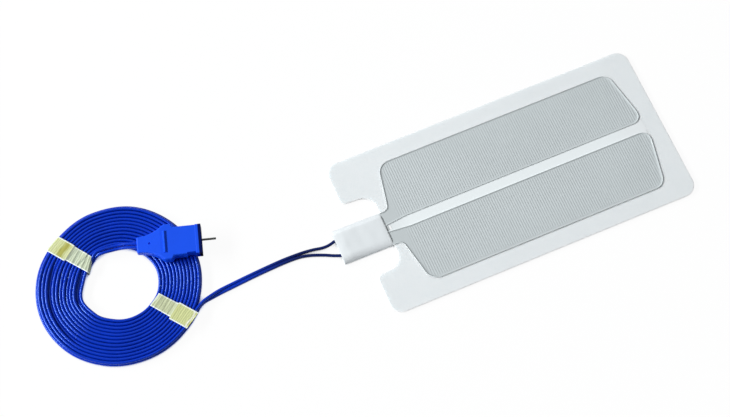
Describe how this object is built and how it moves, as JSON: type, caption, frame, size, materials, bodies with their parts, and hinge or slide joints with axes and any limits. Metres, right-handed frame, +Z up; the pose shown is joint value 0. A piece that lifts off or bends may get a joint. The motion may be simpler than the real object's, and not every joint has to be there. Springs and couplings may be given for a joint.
{
  "type": "electrosurgical return electrode",
  "caption": "Single-use split patient return pad: foam backing with gel halves, folded connection sleeve, coiled twin lead held by paper tapes, and a keyed plug.",
  "frame": {"origin": "under the middle of the pad and its sleeve, on the surface that the pad lies on", "axes": "+X along the pad away from its lead, +Y to the left of it, +Z up out of the gel side"},
  "size_m": [0.3905, 0.1302, 0.0126],
  "materials": {
    "white_foam": "soft matte closed-cell foam",
    "sleeve_foam": "smooth matte foam tape",
    "clear_film": "clear satin film",
    "aluminium_foil": "rolled foil",
    "grey_gel": "moist finely ribbed gel",
    "plated_metal": "tin plated",
    "bare_copper": "bare stranded copper",
    "wire_blue": "satin extruded vinyl",
    "paper_tape": "creased cream paper",
    "plug_blue": "satin moulded",
    "carrier_navy": "satin moulded",
    "steel": "turned"
  },
  "bodies": {
    "root": {"foam_backing": "white_foam", "carrier_film": "clear_film", "foil_plate_left": "aluminium_foil", "foil_plate_right": "aluminium_foil", "gel_pad_left": "grey_gel", "gel_pad_right": "grey_gel", "tab_divider": "clear_film", "connection_sleeve": "sleeve_foam", "crimp_clip_left": "plated_metal", "crimp_clip_right": "plated_metal", "conductor_end_left": "bare_copper", "conductor_end_right": "bare_copper", "lead_wire_left": "wire_blue", "lead_wire_right": "wire_blue", "cable_coil": "wire_blue", "coil_tape_rear": "paper_tape", "coil_tape_front": "paper_tape", "plug_wire_left": "wire_blue", "plug_wire_right": "wire_blue", "plug_body": "plug_blue", "contact_carrier": "carrier_navy", "contact_socket_left": "plated_metal", "contact_socket_right": "plated_metal", "plug_conductor_left": "bare_copper", "plug_conductor_right": "bare_copper", "locating_pin": "steel"}
  },
  "joints": []
}
